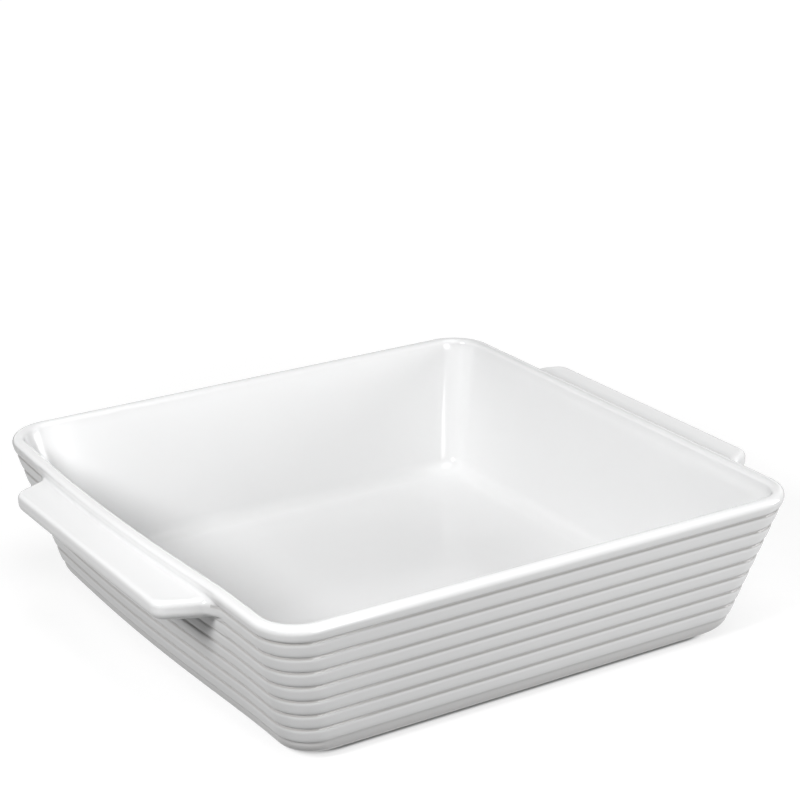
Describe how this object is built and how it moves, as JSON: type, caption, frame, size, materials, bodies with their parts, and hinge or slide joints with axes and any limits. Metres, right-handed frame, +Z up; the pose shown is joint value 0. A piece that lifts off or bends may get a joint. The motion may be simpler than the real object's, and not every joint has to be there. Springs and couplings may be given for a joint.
{
  "type": "square gratin dish",
  "caption": "Square porcelain gratin dish with ribbed, tapered sides, a rolled rim and a tab handle on each of two opposite sides.",
  "frame": {"origin": "middle of the footprint, on the surface the dish stands on", "axes": "+X runs from handle to handle, +Z points up out of the dish, and the front side faces -Y"},
  "size_m": [0.2986, 0.26, 0.0697],
  "materials": {
    "white_glaze": "glossy white glaze"
  },
  "bodies": {
    "root": {"dish_body": "white_glaze", "handle_left": "white_glaze", "handle_right": "white_glaze"}
  },
  "joints": []
}
